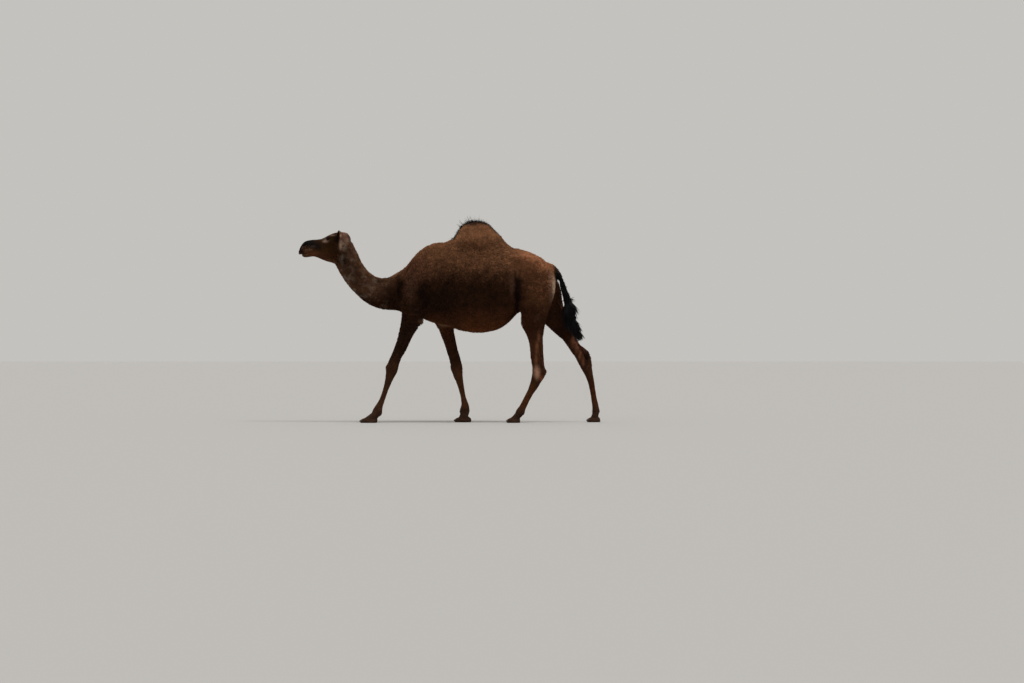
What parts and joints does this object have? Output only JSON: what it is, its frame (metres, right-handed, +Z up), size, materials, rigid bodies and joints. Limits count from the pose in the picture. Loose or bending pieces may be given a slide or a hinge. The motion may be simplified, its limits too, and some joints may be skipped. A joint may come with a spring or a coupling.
{
  "type": "dromedary camel",
  "caption": "Life-size one-humped camel in mid-walk with both left legs forward, short dark coat, raised head and hanging tail",
  "frame": {"origin": "on the floor under the middle of the bounding box", "axes": "+X runs from the head towards the tail, -Y is the camel's left side, +Z is up"},
  "size_m": [3.175, 0.6686, 2.1239],
  "materials": {
    "coat": "short dull brown fur",
    "tail_hair": "long black hair",
    "nail": "worn dark horn",
    "eye": "wet and glossy dark brown"
  },
  "bodies": {
    "root": {"barrel": "coat", "ear_left": "coat", "ear_right": "coat", "eye_left": "eye", "eye_right": "eye", "foreleg_left_cannon": "coat", "foreleg_left_foot": "coat", "foreleg_left_forearm": "coat", "foreleg_left_nail_inner": "nail", "foreleg_left_nail_outer": "nail", "foreleg_right_cannon": "coat", "foreleg_right_foot": "coat", "foreleg_right_forearm": "coat", "foreleg_right_nail_inner": "nail", "foreleg_right_nail_outer": "nail", "forequarters": "coat", "head": "coat", "hindleg_left_cannon": "coat", "hindleg_left_foot": "coat", "hindleg_left_gaskin": "coat", "hindleg_left_nail_inner": "nail", "hindleg_left_nail_outer": "nail", "hindleg_right_cannon": "coat", "hindleg_right_foot": "coat", "hindleg_right_gaskin": "coat", "hindleg_right_nail_inner": "nail", "hindleg_right_nail_outer": "nail", "hindquarters": "coat", "hump": "coat", "lower_jaw": "coat", "neck_lower": "coat", "neck_middle": "coat", "neck_upper": "coat", "tail_brush": "tail_hair", "tail_dock": "coat"}
  },
  "joints": []
}
